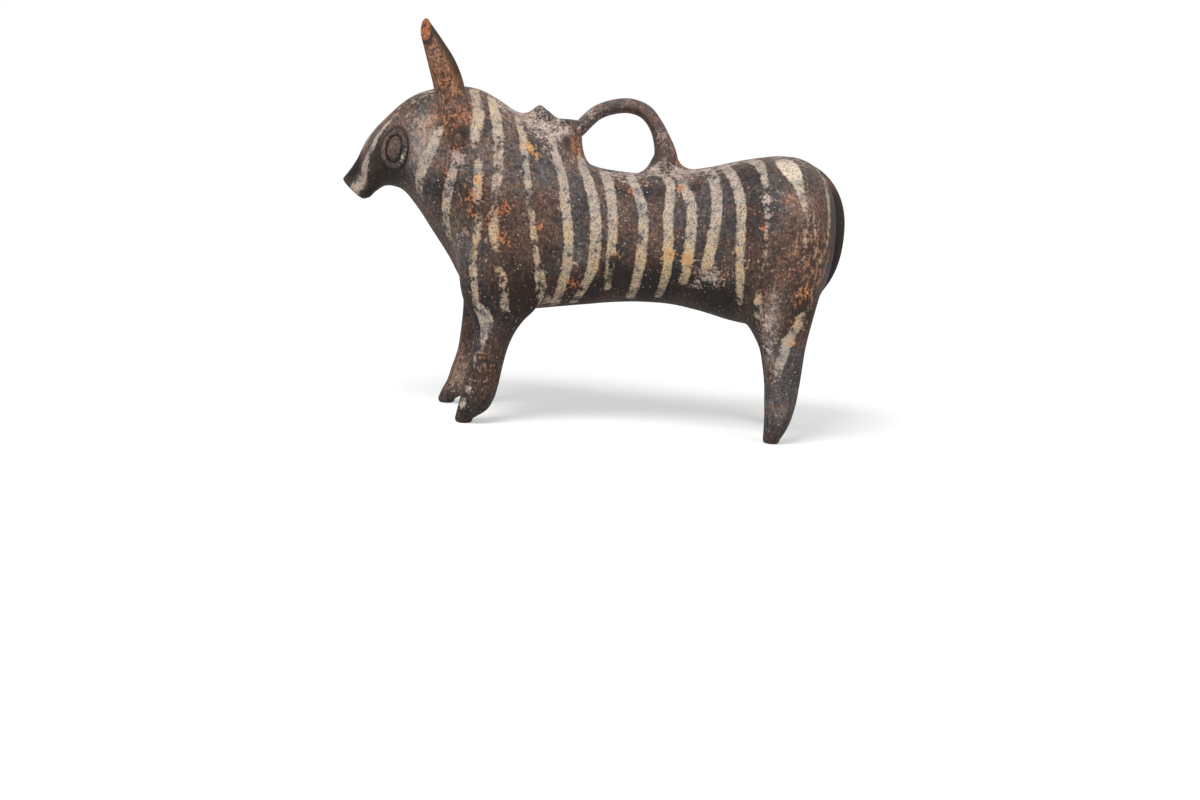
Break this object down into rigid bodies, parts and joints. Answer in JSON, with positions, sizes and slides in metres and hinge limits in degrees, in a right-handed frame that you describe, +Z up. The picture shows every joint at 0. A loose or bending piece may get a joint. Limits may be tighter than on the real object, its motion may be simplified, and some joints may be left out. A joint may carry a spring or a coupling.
{
  "type": "animal-shaped pouring vessel",
  "caption": "Hollow bull-shaped clay pouring vessel with filling collar, strap handle, pierced muzzle, horns and solid legs, dark with pale painted stripes.",
  "frame": {"origin": "centre of the bounding box on the ground between the feet", "axes": "+X towards the tail, so the head points along -X; +Y towards the animal's right flank; +Z up"},
  "size_m": [0.2079, 0.082, 0.157],
  "materials": {
    "dark_slip": "matt dark slip with pale painted stripes, worn",
    "brown_slip": "matt brown slip, worn to the clay",
    "pale_crust": "matt dark slip under a pale lime crust"
  },
  "bodies": {
    "root": {"rump_cap": "dark_slip", "torso_shell": "dark_slip", "neck_shell": "dark_slip", "head_shell": "dark_slip", "muzzle_spout": "dark_slip", "filling_collar": "pale_crust", "strap_handle": "dark_slip", "left_horn": "brown_slip", "right_horn": "brown_slip", "left_ear": "brown_slip", "right_ear": "brown_slip", "left_eye_ring": "dark_slip", "left_eye_pellet": "dark_slip", "right_eye_ring": "dark_slip", "right_eye_pellet": "dark_slip", "front_left_leg": "dark_slip", "front_right_leg": "dark_slip", "hind_left_leg": "dark_slip", "hind_right_leg": "dark_slip", "tail": "dark_slip"}
  },
  "joints": []
}
